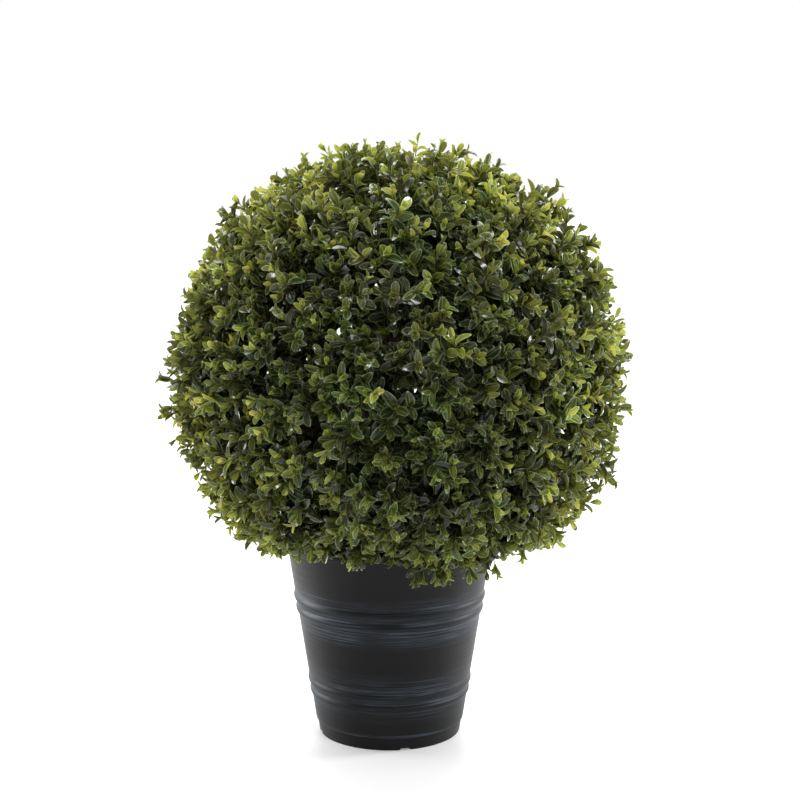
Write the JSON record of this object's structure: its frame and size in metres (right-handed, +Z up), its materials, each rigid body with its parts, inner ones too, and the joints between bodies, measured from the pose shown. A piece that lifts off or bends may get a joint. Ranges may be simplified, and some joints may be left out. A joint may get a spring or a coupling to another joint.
{
  "type": "artificial box topiary ball in pot",
  "caption": "Artificial clipped box ball on a short hidden stem, standing in a weighted round tapered black plastic pot with raised bands.",
  "frame": {"origin": "centre of the pot's flat underside", "axes": "+Z up, -Y towards the front, +X to the front view's right, where the ball stands a little off the pot's axis"},
  "size_m": [0.5126, 0.5038, 0.6448],
  "materials": {
    "pot_plastic": "satin black moulded plastic with a blue-grey paint wash brushed round its raised bands",
    "cast_filling": "rough cast mortar",
    "stem_plastic": "dark brown moulded plastic with bark relief",
    "foliage": "glossy moulded plastic box leaves in dark, mid and yellow green"
  },
  "bodies": {
    "root": {"pot": "pot_plastic", "pot_filling": "cast_filling", "stem": "stem_plastic", "clipped_crown": "foliage"}
  },
  "joints": []
}
